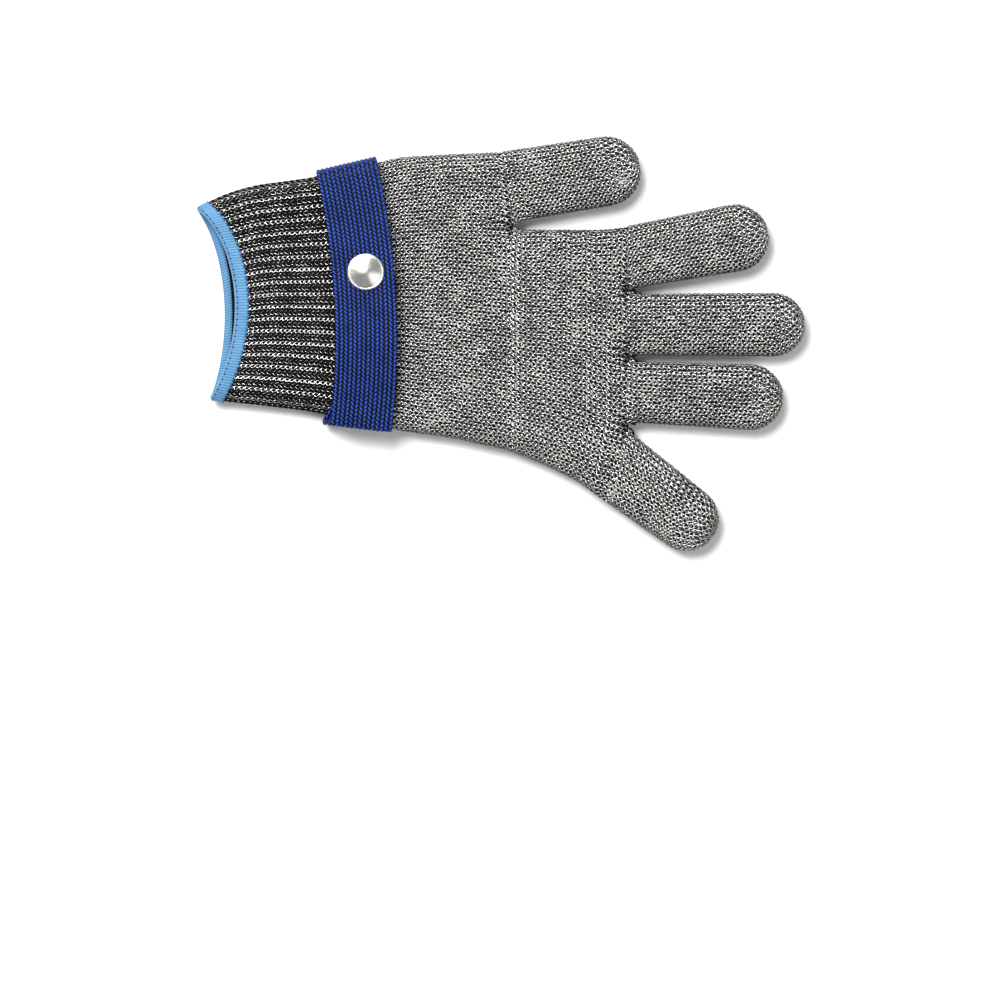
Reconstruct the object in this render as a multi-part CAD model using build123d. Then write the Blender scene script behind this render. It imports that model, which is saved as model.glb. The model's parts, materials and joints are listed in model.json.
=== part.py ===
from build123d import *
import math
import os

os.makedirs("parts", exist_ok=True)

# Cut-resistant wire-knit glove lying flat. Millimetres, +Z up, fingers towards +X, thumb towards +Y.
# The underside of the hand is on z = 0, and the snap is on the upper side.

# Knit
hand_thick = 12.0  # of the hand and digits, lying flat
cuff_top = 10.6  # upper face of the ribbed cuff
knit_wall = 1.5
edge_round = 4.6  # rounding of the knit tube's sides
seam_gap = 0.4  # between two zones that fold against each other

# Hand outline, seen from above
wrist_y = 20.3  # middle of the wrist
palm_width = 111.6
cuff_width = 94.6  # where the cuff meets the strap
mouth_width = 83.0  # at the hem
palm_x = -41.0  # wrist end of the palm
cuff_x = -78.0  # strap end of the open cuff
mouth_x = -114.0
outline_end_x = -134.0  # the outline runs past the mouth and is cut there
end_narrowing = 8.0
low_run = 8.0  # length over which the cuff's underside rises to the strap
crotch_x = 51.8  # bottom of the gaps between the fingers
thumb_crotch = (5.2, 46.9)
ring_side_y = -36.5
heel = (2.0, -43.2)  # little-finger side of the palm
palm_side_slope = 0.09  # of the palm's little-finger side at the wrist
crotch_round = 0.7

# Digits: middle of the root, direction in degrees, length to the tip's centre, radii, direction
# that the two folds face, and how far the folds lie beyond the root
digits = {
    "thumb": {"root": (7.8, 64.6), "heading": 9.0, "length": 35.0, "radii": (14.7, 14.4),
              "fold": 9.0, "knuckle": -4.2, "middle": 22.8},
    "index": {"root": (53.8, 35.5), "heading": 10.4, "length": 41.7, "radii": (12.9, 13.9),
              "fold": 0.0, "knuckle": -0.8, "middle": 26.2},
    "middle": {"root": (53.8, 7.9), "heading": 0.0, "length": 56.4, "radii": (12.7, 13.1),
               "fold": 0.0, "knuckle": -0.8, "middle": 31.2},
    "ring": {"root": (53.8, -19.4), "heading": -2.6, "length": 47.1, "radii": (12.6, 13.6),
             "fold": 0.0, "knuckle": -0.8, "middle": 27.2},
    "little": {"root": (43.4, -47.0), "heading": -37.0, "length": 39.5, "radii": (14.7, 13.4),
               "fold": -15.0, "knuckle": 5.7, "middle": 26.5},
}
digit_root_depth = 7.0  # how far a digit's outline runs back into the palm
cutter_margin = 0.8  # less than half the gap between two fingers

# Wrist fold
wrist_fold_x = -33.0
wrist_bend = 40.0  # degrees, up or down
rib_end_x = -60.0  # rib changes to plain knit under the strap

# Hem and elastic of the cuff
hem_width = 5.5
hem_cover = 0.6  # thread outside and inside the knit wall
mouth_draw = 4.0  # how far the middle of the mouth is drawn in
mouth_thumb_reach = 12.0  # how far its two ends stand out
mouth_little_reach = 5.0
mouth_middle = 4.0  # its deepest point lies this far to the little-finger side
mouth_spare = 2.5  # the curve's ends lie outside the knit
elastic_count = 6
elastic_pitch = 6.0
elastic_width = 1.4
elastic_thick = 0.5
elastic_end_x = -66.0

# Wrist strap of webbing
web_width = 25.0
web_thick = 1.5
strap_x = -61.5  # middle of the strap's chord
strap_lean = -7.55  # sideways run of the chord, little-finger side to thumb side
strap_bow = 6.35  # towards the fingers
strap_spare = 10.5  # the strap's lines run on past the wrist
strap_gap = 1.3  # outside the knit
strap_low = 0.4  # underside of the sewn run
fold_round = 4.0
knit_clear = 0.2  # between knit and strap or snap
flap_fold_inset = 6.8  # from the strap's outer edge to the flap's fold
flap_end_y = -34.2
flap_end_tilt = -6.9
stud_end_margin = 9.5  # inner run past the snap

# Snap fastener
snap_x = -54.7
snap_y = 28.7
cap_radius = 7.5
cap_height = 2.6
cap_rim = 0.7
stud_radius = 1.9
snap_clear = 0.5  # stud in socket: the flap lifts on an arc
post_radius = 1.3
fit_clear = 0.05
flange_thick = 0.7
post_flange_radius = 5.2
stud_flange_radius = 5.5
socket_radius = 5.6
socket_height = 2.6
socket_roof = 0.6
stud_height = 1.9
snap_lift = 0.4  # air between the stud's flange and the socket
spring_wire = 0.6
spring_length = 5.6
groove_radius = 3.5

# Stitching
thread = 0.6
thread_rise = 0.3
tack_length = 16.0
tack_width = 12.0
tack_places = (-8.0, 46.0)

# Heights that follow from the stack at the wrist
wrist_low = strap_low + web_thick + knit_clear
cuff_low = hem_cover
inner_run_low = cuff_top + knit_clear + flange_thick
inner_run_top = inner_run_low + web_thick
socket_low = inner_run_top + flange_thick + snap_lift
flap_low = socket_low + socket_height
flap_top = flap_low + web_thick
far = 200.0
wrist_half = (cuff_width + palm_width) / 4


def at(point, heading, along, across):
    """Point at a distance along and across a heading, from a point."""
    turn = math.radians(heading)
    x = point[0] + along * math.cos(turn) - across * math.sin(turn)
    y = point[1] + along * math.sin(turn) + across * math.cos(turn)
    return (x, y)


def area(*curves):
    """Flat face inside a closed run of curves."""
    return Face(Wire([edge for curve in curves for edge in curve.edges()]))


def digit_flank(digit):
    """Ends of a digit's straight side, in the digit's own directions."""
    root_radius, tip_radius = digit["radii"]
    length = digit["length"]
    slope = (tip_radius - root_radius) / length
    flank = math.sqrt(1 - slope ** 2)
    tip = (length - tip_radius * slope, tip_radius * flank)
    start = (-digit_root_depth, tip[1] - (tip[0] + digit_root_depth) * slope / flank)
    return start, tip


def root_corner(digit, side):
    """Corner of a digit's outline inside the palm."""
    start, tip = digit_flank(digit)
    return at(digit["root"], digit["heading"], start[0], side * start[1])


def digit_face(digit):
    """Outline of a digit: a tapered strip with a round tip."""
    start, tip = digit_flank(digit)
    length = digit["length"]
    tip_radius = digit["radii"][1]
    low_tip = (tip[0], -tip[1])
    low_start = (start[0], -start[1])
    face = area(
        Line(start, tip),
        ThreePointArc(tip, (length + tip_radius, 0), low_tip),
        Line(low_tip, low_start),
        Line(low_start, start),
    )
    return Pos(*digit["root"]) * Rot(0, 0, digit["heading"]) * face


def sleeve_sides():
    """Sides of cuff and wrist: thumb side towards the palm, little-finger side towards the mouth."""
    stations = [
        (outline_end_x, mouth_width / 2 - end_narrowing),
        (mouth_x, mouth_width / 2),
        (cuff_x, cuff_width / 2),
        (palm_x, palm_width / 2),
    ]
    top = [(x, wrist_y + half) for x, half in stations]
    bottom = [(x, wrist_y - half) for x, half in reversed(stations)]
    return top, bottom


def sleeve_face(inset=0.0):
    """Outline of cuff and wrist alone, drawn in by an inset; it runs on a little into the palm."""
    top, bottom = sleeve_sides()
    run_on = wrist_fold_x + 12.0
    thumb_side = root_corner(digits["thumb"], 1)
    slope = (thumb_side[1] - top[-1][1]) / (thumb_side[0] - top[-1][0])
    high = (run_on, top[-1][1] + slope * (run_on - palm_x))
    low = (run_on, bottom[0][1] - palm_side_slope * (run_on - palm_x))
    return offset(area(Polyline(top + [high, low] + bottom, close=True)), -inset, kind=Kind.INTERSECTION)


def hand_face():
    """Outline of cuff, palm and digits together."""
    top, bottom = sleeve_sides()
    thumb_top = root_corner(digits["thumb"], 1)
    little_side = root_corner(digits["little"], -1)
    finger_side = (crotch_x, thumb_crotch[1])
    face = area(
        Polyline(top),
        Line(top[-1], thumb_top),
        Polyline([thumb_top, thumb_crotch, finger_side, (crotch_x, ring_side_y), little_side]),
        ThreePointArc(little_side, heel, bottom[0]),
        Polyline(bottom),
        Line(bottom[-1], top[0]),
    )
    for digit in digits.values():
        face = face + digit_face(digit)
    return offset(offset(face, crotch_round), -crotch_round)


def pillow(face, low, high, radius):
    """Flat body with rounded sides, such as a knit tube lying flat."""
    solid = Pos(0, 0, low) * extrude(face, high - low, dir=(0, 0, 1))
    rims = [edge for edge in solid.edges() if abs(edge.center().Z - (low + high) / 2) > 0.4 * (high - low)]
    return fillet(rims, radius)


def side_prism(stations):
    """Solid between a lower and an upper line, seen along Y; stations are (x, low, high)."""
    points = [(x, low) for x, low, high in stations]
    points += [(x, high) for x, low, high in reversed(stations)]
    face = make_face(Polyline(points, close=True))
    return Pos(0, far, 0) * Rot(90, 0, 0) * extrude(face, 2 * far, dir=(0, 0, 1))


def knit_body(face, inset):
    """Body inside the knit's outer surface, drawn in by an inset."""
    return pillow(face, inset, hand_thick - inset, edge_round - inset)


def sleeve_body(inset):
    """Body of wrist and cuff, lower at the strap, drawn in by an inset."""
    stations = [
        (-far, cuff_low + inset, cuff_top - inset),
        (cuff_x - low_run, cuff_low + inset, cuff_top - inset),
        (cuff_x, wrist_low + inset, cuff_top - inset),
        (palm_x - 1, wrist_low + inset, cuff_top - inset),
        (wrist_fold_x, inset, hand_thick - inset),
        (wrist_fold_x + low_run, inset, hand_thick - inset),
    ]
    return knit_body(sleeve_face(inset), inset) & side_prism(stations)


def beyond(digit, distance):
    """Space past a fold of a digit."""
    middle = at(digit["root"], digit["fold"], distance, 0)
    block = Box(far, far, far, align=(Align.MIN, Align.CENTER, Align.CENTER))
    return Pos(middle[0], middle[1], 0) * Rot(0, 0, digit["fold"]) * block


def shell_of_digit(digit):
    """Hollow knit of one digit, open at the palm."""
    face = digit_face(digit)
    outer = pillow(face, 0, hand_thick, edge_round)
    inner = pillow(offset(face, -knit_wall), knit_wall, hand_thick - knit_wall, edge_round - knit_wall)
    return outer - inner


def digit_zones(digit):
    """The two knit zones of a digit: root to middle fold, middle fold to tip."""
    shell = shell_of_digit(digit)
    half = seam_gap / 2
    base = (shell & beyond(digit, digit["knuckle"] + half)) - beyond(digit, digit["middle"] - half)
    tip = shell & beyond(digit, digit["middle"] + half)
    return base, tip


def wrist_side(direction):
    """Space on one side of the wrist fold, cut back as a wedge so that the fold can bend both ways."""
    middle = hand_thick / 2
    reach = middle + 4
    back = reach * math.tan(math.radians(wrist_bend / 2))
    start = wrist_fold_x + direction * seam_gap / 2
    points = [(start, middle), (start + direction * back, middle + reach), (direction * far, middle + reach),
              (direction * far, middle - reach), (start + direction * back, middle - reach)]
    face = make_face(Polyline(points, close=True))
    return Pos(0, far, 0) * Rot(90, 0, 0) * extrude(face, 2 * far, dir=(0, 0, 1))


def mouth_side(shift):
    """Space on the finger side of the mouth's curve, moved by a shift."""
    half = mouth_width / 2 + mouth_spare
    high = (mouth_x - mouth_thumb_reach + shift, wrist_y + half)
    middle = (mouth_x + mouth_draw + shift, wrist_y - mouth_middle)
    low = (mouth_x - mouth_little_reach + shift, wrist_y - half)
    curve_top = (high[0], far)
    curve_low = (low[0], -far)
    face = area(
        Line(curve_top, high),
        ThreePointArc(high, middle, low),
        Line(low, curve_low),
        Polyline([curve_low, (far, curve_low[1]), (far, curve_top[1]), curve_top]),
    )
    return Pos(0, 0, -far / 2) * extrude(face, far, dir=(0, 0, 1))


def strap_arc(shift):
    """Line along the strap, moved sideways."""
    reach = wrist_half + strap_spare
    low = (strap_x + shift - strap_lean / 2, wrist_y - reach)
    high = (strap_x + shift + strap_lean / 2, wrist_y + reach)
    return ThreePointArc(low, (strap_x + shift + strap_bow, wrist_y), high)


def strap_strip(low, high):
    """Space of the strap's plan between two heights."""
    near = strap_arc(-web_width / 2)
    away = strap_arc(web_width / 2)
    face = area(near, Line(near @ 1, away @ 1), away, Line(away @ 0, near @ 0))
    return Pos(0, 0, low) * extrude(face, high - low, dir=(0, 0, 1))


def strap_loop(face, high):
    """Loop of webbing round the wrist, with its upper run at a height."""
    outer_face = offset(face, strap_gap + web_thick, kind=Kind.INTERSECTION)
    inner_face = offset(face, strap_gap, kind=Kind.INTERSECTION)
    outer = pillow(outer_face, strap_low, high, fold_round)
    inner = pillow(inner_face, strap_low + web_thick, high - web_thick, fold_round - web_thick)
    return (outer - inner) & strap_strip(strap_low - 1, high + 1)


def wrist_face():
    """Outline of the wrist alone, under the strap."""
    half_cuff = cuff_width / 2
    half_palm = palm_width / 2
    slope = (half_palm - half_cuff) / (palm_x - cuff_x)
    reach = 30.0
    corners = [
        (cuff_x - reach, wrist_y + half_cuff - reach * slope),
        (palm_x + reach, wrist_y + half_palm + reach * slope),
        (palm_x + reach, wrist_y - half_palm - reach * slope),
        (cuff_x - reach, wrist_y - half_cuff + reach * slope),
    ]
    return make_face(Polyline(corners, close=True))


def fold_line():
    """Middle of the flap's fold, and the direction of the fold in degrees."""
    tilt = math.degrees(math.atan((palm_width - cuff_width) / 2 / (palm_x - cuff_x)))
    x = strap_x + strap_lean / 2 + flap_fold_inset / 4
    edge = wrist_y + cuff_width / 2 + (x - cuff_x) * math.tan(math.radians(tilt)) + strap_gap + web_thick
    return (x, edge - flap_fold_inset), tilt


def half_space(point, heading):
    """Space on the left of a line through a point."""
    block = Box(2 * far, far, far, align=(Align.CENTER, Align.MIN, Align.CENTER))
    return Pos(point[0], point[1], 0) * Rot(0, 0, heading) * block


def disc(radius, low, high):
    """Upright disc on the snap's axis."""
    upright = (Align.CENTER, Align.CENTER, Align.MIN)
    return Pos(snap_x, snap_y, low) * Cylinder(radius, high - low, align=upright)


def save(node, shape):
    """Write one node."""
    export_step(shape, f"parts/{node}.step")


# Knit of the hand and digits
plan = hand_face()
palm_shell = knit_body(plan, 0) - knit_body(offset(plan, -knit_wall), knit_wall)
hand = palm_shell & wrist_side(1)
for name, digit in digits.items():
    stub_face = offset(digit_face(digit), cutter_margin)
    stub = Pos(0, 0, -1) * extrude(stub_face, hand_thick + 2, dir=(0, 0, 1))
    hand = hand - (stub & beyond(digit, digit["knuckle"] - seam_gap / 2))
save("hand_knit", hand)
for name, digit in digits.items():
    base_zone, tip_zone = digit_zones(digit)
    save(f"{name}_base", base_zone)
    save(f"{name}_tip", tip_zone)

# Wrist and cuff
sleeve = (sleeve_body(0) - sleeve_body(knit_wall)) & wrist_side(-1)
wrist_block = Box(far, 2 * far, far, align=(Align.MIN, Align.CENTER, Align.CENTER))
rib_split = Pos(rib_end_x, 0, 0) * wrist_block
save("wrist_knit", sleeve & rib_split)
save("cuff_rib", (sleeve - rib_split) & mouth_side(hem_width))

hem_body = pillow(sleeve_face(-hem_cover), cuff_low - hem_cover, cuff_top + hem_cover, edge_round)
hem_inset = knit_wall + hem_cover
hem_round = edge_round - hem_inset
hem_hole = pillow(sleeve_face(hem_inset), cuff_low + hem_inset, cuff_top - hem_inset, hem_round)
hem_band = mouth_side(0) - mouth_side(hem_width)
save("cuff_hem", (hem_body - hem_hole) & hem_band)

elastic_space = sleeve_body(knit_wall) - sleeve_body(knit_wall + elastic_thick)
rings = []
for count in range(elastic_count):
    slab = Box(elastic_width, 2 * far, far)
    rings.append(elastic_space & (Pos(elastic_end_x - count * elastic_pitch, 0, 0) * slab))
save("cuff_elastic", Compound(children=[solid for ring in rings for solid in ring.solids()]))

# Strap
wrist_plan = wrist_face()
fold_point, fold_tilt = fold_line()
hanging = (Align.CENTER, Align.CENTER, Align.MAX)
low_half = Pos(0, 0, hand_thick / 2) * Box(2 * far, 2 * far, far, align=hanging)
fold_loop = strap_loop(wrist_plan, flap_top)
under_fold = at(fold_point, fold_tilt, 0, seam_gap / 2)
top_fold = fold_loop & (half_space(under_fold, fold_tilt) + low_half)
inner_loop = strap_loop(wrist_plan, inner_run_top)
stud_end = (snap_x, snap_y + stud_end_margin)
lower_side = half_space(stud_end, fold_tilt + 180)
thumb_side = half_space(under_fold, fold_tilt)
inner_run = inner_loop & lower_side
back_of_fold = fold_loop & low_half & half_space(stud_end, fold_tilt)
band = (top_fold & thumb_side) + back_of_fold + inner_run
save("strap_band", band - disc(post_radius + fit_clear, inner_run_low - 1, inner_run_top + 1))

past_fold = at(fold_point, fold_tilt, 0, -seam_gap / 2)
flap_end = (strap_x + strap_bow / 2, flap_end_y)
flap = strap_strip(flap_low, flap_top) & half_space(past_fold, fold_tilt + 180)
flap = flap & half_space(flap_end, flap_end_tilt)
save("strap_flap", flap - disc(post_radius + fit_clear, flap_low - 1, flap_top + 1))

# Snap fastener: post and stud on the strap's inner run, socket, spring and cap on the flap
flange = disc(post_flange_radius, inner_run_low - flange_thick, inner_run_low)
neck_top = inner_run_top + flange_thick + stud_height / 2
save("snap_post", flange + disc(post_radius, inner_run_low - flange_thick, neck_top))

stud_top = inner_run_top + flange_thick + stud_height
stud = disc(stud_flange_radius, inner_run_top, inner_run_top + flange_thick)
stud = stud + disc(stud_radius, inner_run_top, stud_top)
stud = fillet(stud.edges().group_by(Axis.Z)[-1], stud_radius / 3)
save("snap_stud", stud - disc(post_radius + fit_clear, inner_run_top - 1, neck_top + fit_clear))

socket = disc(socket_radius, socket_low, flap_low)
socket = socket - disc(stud_radius + snap_clear, socket_low - 1, flap_low - socket_roof)
groove_low = socket_low + 0.6
socket = socket - disc(groove_radius, groove_low, groove_low + spring_wire + 2 * fit_clear)
rivet_low = flap_low - socket_roof
save("snap_socket", socket - disc(post_radius + fit_clear, rivet_low - 1, flap_low + 1))

legs = []
for side in (-1, 1):
    leg = Cylinder(spring_wire / 2, spring_length, rotation=(0, 90, 0))
    leg_y = snap_y + side * (stud_radius + snap_clear + spring_wire / 2 + fit_clear)
    legs.append(Pos(snap_x, leg_y, groove_low + fit_clear + spring_wire / 2) * leg)
groove = disc(groove_radius - fit_clear, groove_low, groove_low + spring_wire + 2 * fit_clear)
save("snap_spring", Compound(children=[solid for leg in legs for solid in (leg & groove).solids()]))

shoulder = (cap_radius * 0.3, cap_height * 0.93)
cap_profile = area(
    Line((0, 0), (cap_radius, 0)),
    Line((cap_radius, 0), (cap_radius, cap_rim)),
    ThreePointArc((cap_radius, cap_rim), (cap_radius * 0.62, cap_height * 0.7), shoulder),
    Line(shoulder, (0, cap_height)),
    Line((0, cap_height), (0, 0)),
)
cap = Pos(snap_x, snap_y, flap_top) * revolve(Rot(90, 0, 0) * cap_profile, Axis.Z)
save("snap_cap", cap + disc(post_radius, rivet_low, flap_top))

# Stitching
tacks = []
for place in tack_places:
    middle = (strap_x + strap_bow / 2, place)
    rows = [Pos(side * tack_length / 2, 0, 0) * Box(thread, tack_width, thread_rise) for side in (-1, 1)]
    rows += [Pos(0, side * tack_width / 2, 0) * Box(tack_length, thread, thread_rise) for side in (-1, 1)]
    diagonal = math.hypot(tack_length, tack_width)
    slant = math.degrees(math.atan2(tack_width, tack_length))
    rows += [Rot(0, 0, side * slant) * Box(diagonal, thread, thread_rise) for side in (-1, 1)]
    tack = rows[0]
    for row in rows[1:]:
        tack = tack + row
    tacks.append(Pos(middle[0], middle[1], strap_low - thread_rise / 2) * tack)
save("strap_tack", Compound(children=[solid for tack in tacks for solid in tack.solids()]))
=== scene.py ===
import json
import math
import bpy
import bmesh
import numpy as np
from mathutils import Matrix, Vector

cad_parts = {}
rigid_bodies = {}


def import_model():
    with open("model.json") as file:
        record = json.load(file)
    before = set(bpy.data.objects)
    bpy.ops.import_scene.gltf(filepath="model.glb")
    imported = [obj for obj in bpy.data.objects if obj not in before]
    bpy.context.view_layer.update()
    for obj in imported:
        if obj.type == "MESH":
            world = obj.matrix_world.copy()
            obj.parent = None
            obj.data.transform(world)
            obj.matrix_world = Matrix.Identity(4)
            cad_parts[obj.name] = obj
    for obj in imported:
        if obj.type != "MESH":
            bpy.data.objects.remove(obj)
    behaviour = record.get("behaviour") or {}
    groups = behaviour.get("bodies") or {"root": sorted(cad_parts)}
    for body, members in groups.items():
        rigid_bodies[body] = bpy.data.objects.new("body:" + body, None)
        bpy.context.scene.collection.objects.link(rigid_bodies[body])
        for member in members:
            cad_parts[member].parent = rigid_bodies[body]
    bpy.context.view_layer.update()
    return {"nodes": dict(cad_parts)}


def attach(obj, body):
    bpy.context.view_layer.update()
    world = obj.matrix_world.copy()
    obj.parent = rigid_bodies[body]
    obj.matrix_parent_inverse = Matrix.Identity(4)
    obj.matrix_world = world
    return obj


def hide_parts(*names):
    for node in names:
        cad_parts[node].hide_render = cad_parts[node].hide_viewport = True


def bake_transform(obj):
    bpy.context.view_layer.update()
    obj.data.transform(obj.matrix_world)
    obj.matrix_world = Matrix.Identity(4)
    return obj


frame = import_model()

nodes = frame["nodes"]
bpy.ops.object.select_all(action="DESELECT")
milli = 0.001
turn = 2 * math.pi


# colours and node trees
def toLinear(colour):
    parts = [int(colour[i:i + 2], 16) / 255 for i in (1, 3, 5)]
    return tuple(p / 12.92 if p <= 0.04045 else ((p + 0.055) / 1.055) ** 2.4 for p in parts) + (1.0,)


def addNode(tree, kind, settings, links=()):
    node = tree.nodes.new(kind)
    for key, value in settings.items():
        if isinstance(key, int):
            node.inputs[key].default_value = value
        elif key in node.inputs:
            node.inputs[key].default_value = value
        else:
            setattr(node, key, value)
    for key, source in links:
        tree.links.new(source, node.inputs[key])
    return node


def newFinish(name, look):
    finish = bpy.data.materials.new(name)
    finish.use_nodes = True
    tree = finish.node_tree
    shader = tree.nodes["Principled BSDF"]
    shader.inputs["Metallic"].default_value = look["metallic"]
    shader.inputs["Roughness"].default_value = look["roughness"]
    shader.inputs["Sheen Weight"].default_value = look.get("sheen", 0.0)
    shader.inputs["Specular IOR Level"].default_value = look.get("specular", 0.5)
    place = addNode(tree, "ShaderNodeTexCoord", {}).outputs["Object"]
    perMetre = 1 / milli
    grain = addNode(tree, "ShaderNodeTexNoise", {"Scale": perMetre / look["grain"], "Detail": 3.0},
                    [("Vector", place)])
    patch = addNode(tree, "ShaderNodeTexNoise", {"Scale": perMetre / look["patch"], "Detail": 2.0},
                    [("Vector", place)])
    both = addNode(tree, "ShaderNodeMath", {"operation": "ADD"},
                   [(0, grain.outputs["Fac"]), (1, patch.outputs["Fac"])]).outputs[0]
    span = addNode(tree, "ShaderNodeMapRange", {1: 0.7, 2: 1.3, 3: 0.0, 4: 1.0}, [(0, both)]).outputs[0]
    mix = addNode(tree, "ShaderNodeMix",
                  {"data_type": "RGBA", 6: toLinear(look["dark"]), 7: toLinear(look["light"])},
                  [(0, span)]).outputs[2]
    if "low" in look:  # painted shade: the hollows of the weave, the grooves of the hem and the sides of the knit are painted darker
        relief = addNode(tree, "ShaderNodeAttribute", {"attribute_name": "relief"}).outputs["Fac"]
        start, end = look["span"]
        rise = addNode(tree, "ShaderNodeMapRange", {1: start, 2: end, 3: 0.0, 4: 1.0},
                       [(0, relief)]).outputs[0]
        mix = addNode(tree, "ShaderNodeMix", {"data_type": "RGBA", 6: toLinear(look["low"])},
                      [(0, rise), (7, mix)]).outputs[2]
    tree.links.new(mix, shader.inputs["Base Color"])
    smoothest, dullest = look["roughness"] - look["uneven"], look["roughness"] + look["uneven"]
    dull = addNode(tree, "ShaderNodeMapRange", {1: 0.3, 2: 0.7, 3: smoothest, 4: dullest},
                   [(0, patch.outputs["Fac"])]).outputs[0]
    tree.links.new(dull, shader.inputs["Roughness"])
    bump = addNode(tree, "ShaderNodeBump", {"Strength": look["bump"], "Distance": look["bumpDepth"] * milli},
                   [("Height", grain.outputs["Fac"])]).outputs[0]
    tree.links.new(bump, shader.inputs["Normal"])
    return finish


# sizes in mm: grain is the fine texture, patch the slow change of tone; low colours what lies below the span,
# as painted shade
finishes = {
    # drawn stainless steel wire, bright with a slightly matt skin from drawing; its low colour is painted
    # shade on the sides of the knit
    "drawnSteelWire": {"dark": "#b4b4b2", "light": "#ecece9", "low": "#646462", "span": (0.36, 1.0),
                       "metallic": 1.0, "roughness": 0.25, "uneven": 0.03,
                       "grain": 0.5, "patch": 9.0, "bump": 0.2, "bumpDepth": 0.02},
    # spun polyester core under the wire, matt charcoal
    "spunPolyesterCore": {"dark": "#08080a", "light": "#1a1b1c",
                          "metallic": 0.0, "roughness": 0.85, "uneven": 0.05, "specular": 0.06,
                          "grain": 0.7, "patch": 6.0, "bump": 0.6, "bumpDepth": 0.2},
    # black textured polyester rib yarn, matt with fine fibre
    "blackRibYarn": {"dark": "#030304", "light": "#101011",
                     "metallic": 0.0, "roughness": 0.7, "uneven": 0.08, "specular": 0.04,
                     "grain": 0.45, "patch": 5.0, "bump": 0.7, "bumpDepth": 0.12},
    # woven polypropylene webbing, royal blue, slightly silky crowns; its low colour is painted shade in the
    # hollows between beads
    "wovenWebbing": {"dark": "#1d3c92", "light": "#345cc8", "low": "#000104", "span": (0.34, 0.95),
                     "metallic": 0.0, "roughness": 0.36, "uneven": 0.06, "specular": 0.1,
                     "grain": 0.4, "patch": 7.0, "bump": 0.5, "bumpDepth": 0.08},
    # sky blue overlock thread, soft sheen along each turn; its low colour is painted shade in the grooves
    # between turns
    "overlockThread": {"dark": "#4c81a8", "light": "#6b9dbf", "low": "#1f5485", "span": (0.1, 0.75),
                       "metallic": 0.0, "roughness": 0.55, "uneven": 0.06, "specular": 0.25, "sheen": 0.2,
                       "grain": 0.35, "patch": 6.0, "bump": 0.4, "bumpDepth": 0.06},
    # dark blue dashes that stand for the shaded gaps between the hem's stitches: painted shade
    "lockThread": {"dark": "#12387a", "light": "#1f5098",
                   "metallic": 0.0, "roughness": 0.6, "uneven": 0.05,
                   "grain": 0.3, "patch": 5.0, "bump": 0.3, "bumpDepth": 0.05},
    # blue bonded sewing thread of the tacks
    "bondedThread": {"dark": "#1c3474", "light": "#2c4a96",
                     "metallic": 0.0, "roughness": 0.5, "uneven": 0.05,
                     "grain": 0.3, "patch": 4.0, "bump": 0.3, "bumpDepth": 0.05},
    # pressed stainless steel, satin from tumbling
    "satinPressedSteel": {"dark": "#c9c7c3", "light": "#e6e4e0",
                          "metallic": 1.0, "roughness": 0.27, "uneven": 0.05,
                          "grain": 0.25, "patch": 4.0, "bump": 0.15, "bumpDepth": 0.01},
    # hard drawn spring wire
    "springWire": {"dark": "#9b9d9e", "light": "#c4c6c6",
                   "metallic": 1.0, "roughness": 0.25, "uneven": 0.04,
                   "grain": 0.3, "patch": 3.0, "bump": 0.1, "bumpDepth": 0.01},
    # covered elastic yarn, off-black and ribbed
    "coveredElastic": {"dark": "#161617", "light": "#303133",
                       "metallic": 0.0, "roughness": 0.8, "uneven": 0.05, "specular": 0.25,
                       "grain": 0.5, "patch": 4.0, "bump": 0.5, "bumpDepth": 0.1},
}
finish = {name: newFinish(name, look) for name, look in finishes.items()}
print("finishes made", len(finish))


# mesh helpers, lengths in mm until the mesh is made
def meshPiece(name, points, quads, look, caps=(), relief=None):
    mesh = bpy.data.meshes.new(name)
    mesh.vertices.add(len(points))
    mesh.vertices.foreach_set("co", (np.asarray(points) * milli).astype(np.float32).ravel())
    corners = [np.asarray(quads, dtype=np.int32).ravel()] + [np.asarray(c, dtype=np.int32) for c in caps]
    starts = [np.arange(len(quads), dtype=np.int32) * 4]
    at = len(quads) * 4
    for c in caps:
        starts.append(np.array([at], dtype=np.int32))
        at += len(c)
    mesh.loops.add(at)
    mesh.loops.foreach_set("vertex_index", np.concatenate(corners))
    mesh.polygons.add(len(quads) + len(caps))
    mesh.polygons.foreach_set("loop_start", np.concatenate(starts))
    mesh.update(calc_edges=True)
    mesh.validate()
    mesh.shade_smooth()
    if relief is not None:
        mesh.attributes.new("relief", "FLOAT", "POINT").data.foreach_set("value", relief.astype(np.float32))
    piece = bpy.data.objects.new(name, mesh)
    bpy.context.scene.collection.objects.link(piece)
    mesh.materials.append(finish[look])
    return piece


def gridQuads(rows, columns, wrapRows=False, wrapColumns=True, offset=0):
    r = np.arange(rows if wrapRows else rows - 1)[:, None]
    c = np.arange(columns if wrapColumns else columns - 1)[None, :]
    r1, c1 = (r + 1) % rows, (c + 1) % columns
    quads = np.stack([r * columns + c, r1 * columns + c, r1 * columns + c1, r * columns + c1], -1)
    return quads.reshape(-1, 4) + offset


def unit(v):
    return v / np.maximum(np.linalg.norm(v, axis=-1, keepdims=True), 1e-9)


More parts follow.
